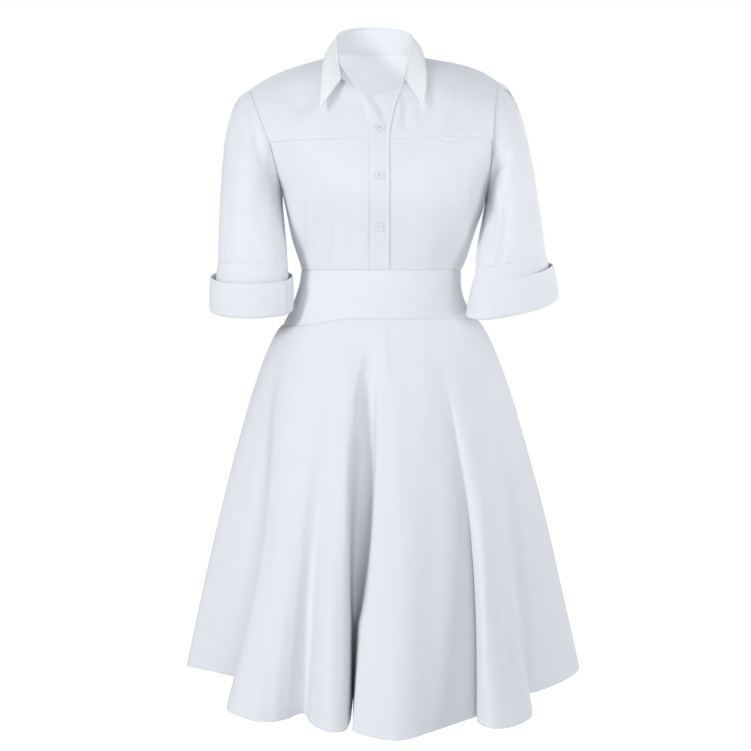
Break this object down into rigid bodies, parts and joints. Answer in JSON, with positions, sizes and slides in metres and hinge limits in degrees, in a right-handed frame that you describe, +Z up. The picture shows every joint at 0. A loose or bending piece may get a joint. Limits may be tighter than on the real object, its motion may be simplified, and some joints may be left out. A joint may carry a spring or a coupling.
{
  "type": "uniform shirt dress",
  "caption": "Knee-length shirt dress in its worn shape, with collar, half placket, yokes, shaped waistband, flared folded skirt and elbow sleeves with turned-up cuffs.",
  "frame": {"origin": "inside the hollow at the level of the shoulders, on the centre plane of the hem and sleeves, midway between the fronts and the back at the side seams", "axes": "+X to the wearer's left, -Y out of the front, +Z up"},
  "size_m": [0.601, 0.5624, 0.988],
  "materials": {
    "white_cloth": "plain-woven white cotton blend, matte with a faint sheen",
    "button": "white, smooth"
  },
  "bodies": {
    "root": {"front_bodice_right": "white_cloth", "front_bodice_left": "white_cloth", "front_yoke_right": "white_cloth", "front_yoke_left": "white_cloth", "back_bodice": "white_cloth", "placket_over": "white_cloth", "placket_under": "white_cloth", "pocket_lip": "white_cloth", "collar_stand": "white_cloth", "collar_leaf": "white_cloth", "waistband_front": "white_cloth", "waistband_back": "white_cloth", "skirt_front": "white_cloth", "skirt_back": "white_cloth", "sleeve_right": "white_cloth", "sleeve_left": "white_cloth", "cuff_right": "white_cloth", "cuff_left": "white_cloth", "button_1": "button", "button_2": "button", "button_3": "button"}
  },
  "joints": []
}
